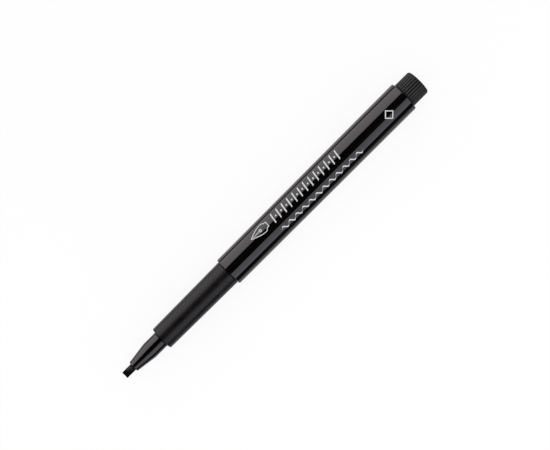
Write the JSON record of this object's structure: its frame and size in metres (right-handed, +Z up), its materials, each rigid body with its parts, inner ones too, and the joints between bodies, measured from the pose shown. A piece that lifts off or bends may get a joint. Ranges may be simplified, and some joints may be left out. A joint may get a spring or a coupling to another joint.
{
  "type": "calligraphy marker",
  "caption": "Uncapped round marker with a flat chisel nib, glossy nose cone, tapered matte grip, glossy barrel and ribbed end plug; opens along its axis.",
  "frame": {"origin": "centre of the bounding box at its bottom: under the middle of the pen, on the surface it lies on", "axes": "+X along the pen from the nib to the end plug, +Z up through the side that carries the printed marks; the broad face of the nib faces +Z"},
  "size_m": [0.14, 0.0114, 0.0114],
  "materials": {
    "nib_fibre": "ink-soaked bonded fibre",
    "nose_plastic": "polished",
    "grip_plastic": "fine spark-eroded texture",
    "barrel_plastic": "polished",
    "reservoir_fibre": "ink-soaked bonded fibre",
    "clear_film": "thin translucent film",
    "plug_plastic": "satin",
    "mark_ink": "printed marks on the barrel, shown by the visual model only"
  },
  "bodies": {
    "barrel_body": {"barrel": "barrel_plastic", "ink_reservoir": "reservoir_fibre", "reservoir_film": "clear_film"},
    "grip_body": {"grip_section": "grip_plastic"},
    "nose_body": {"nose_cone": "nose_plastic"},
    "nib_body": {"nib": "nib_fibre"},
    "plug_body": {"end_plug": "plug_plastic"}
  },
  "joints": [
    {"name": "grip_pull", "type": "slide", "parent": "barrel_body", "child": "grip_body", "axis": [-1, 0, 0], "range_m": [0, 0.0292]},
    {"name": "nose_pull", "type": "slide", "parent": "grip_body", "child": "nose_body", "axis": [-1, 0, 0], "range_m": [0, 0.0106]},
    {"name": "nib_pull", "type": "slide", "parent": "nose_body", "child": "nib_body", "axis": [-1, 0, 0], "range_m": [0, 0.0335]},
    {"name": "plug_pull", "type": "slide", "parent": "barrel_body", "child": "plug_body", "axis": [1, 0, 0], "range_m": [0, 0.012]}
  ]
}
